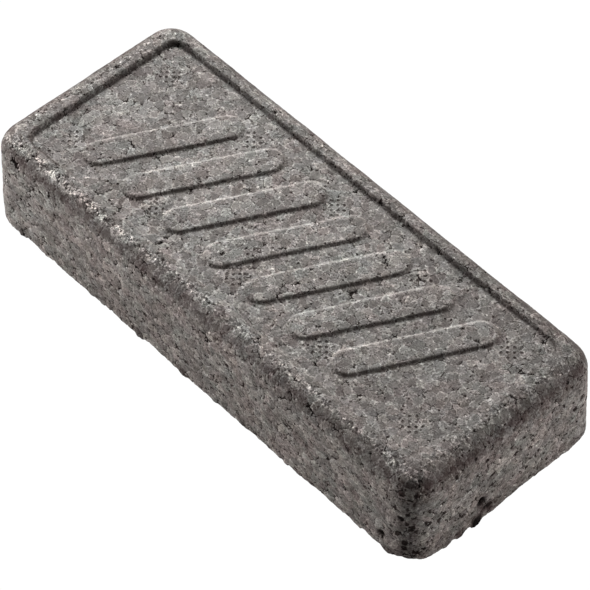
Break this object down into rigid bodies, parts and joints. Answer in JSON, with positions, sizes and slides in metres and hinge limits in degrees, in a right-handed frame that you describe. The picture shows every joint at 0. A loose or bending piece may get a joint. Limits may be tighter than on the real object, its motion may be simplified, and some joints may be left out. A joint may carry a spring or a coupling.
{
  "type": "board eraser",
  "caption": "Rectangular moulded bead-foam board eraser with a rimmed, ribbed grip top and a soft pile wiping pad glued underneath.",
  "frame": {"origin": "centre of the wiping face, where the pile rests on the board or table", "axes": "+X along the length of the block, +Y across its width, +Z from the wiping face up through the foam block"},
  "size_m": [0.1302, 0.0534, 0.0269],
  "materials": {
    "bead_foam": "moulded closed-cell bead foam, softly glossy beads",
    "adhesive": "dried hot-melt film",
    "knit_backing": "plain knitted cloth",
    "pile": "dense short cut pile"
  },
  "bodies": {
    "root": {"foam_block": "bead_foam", "adhesive_layer": "adhesive", "pad_backing": "knit_backing", "pad_pile": "pile"}
  },
  "joints": []
}
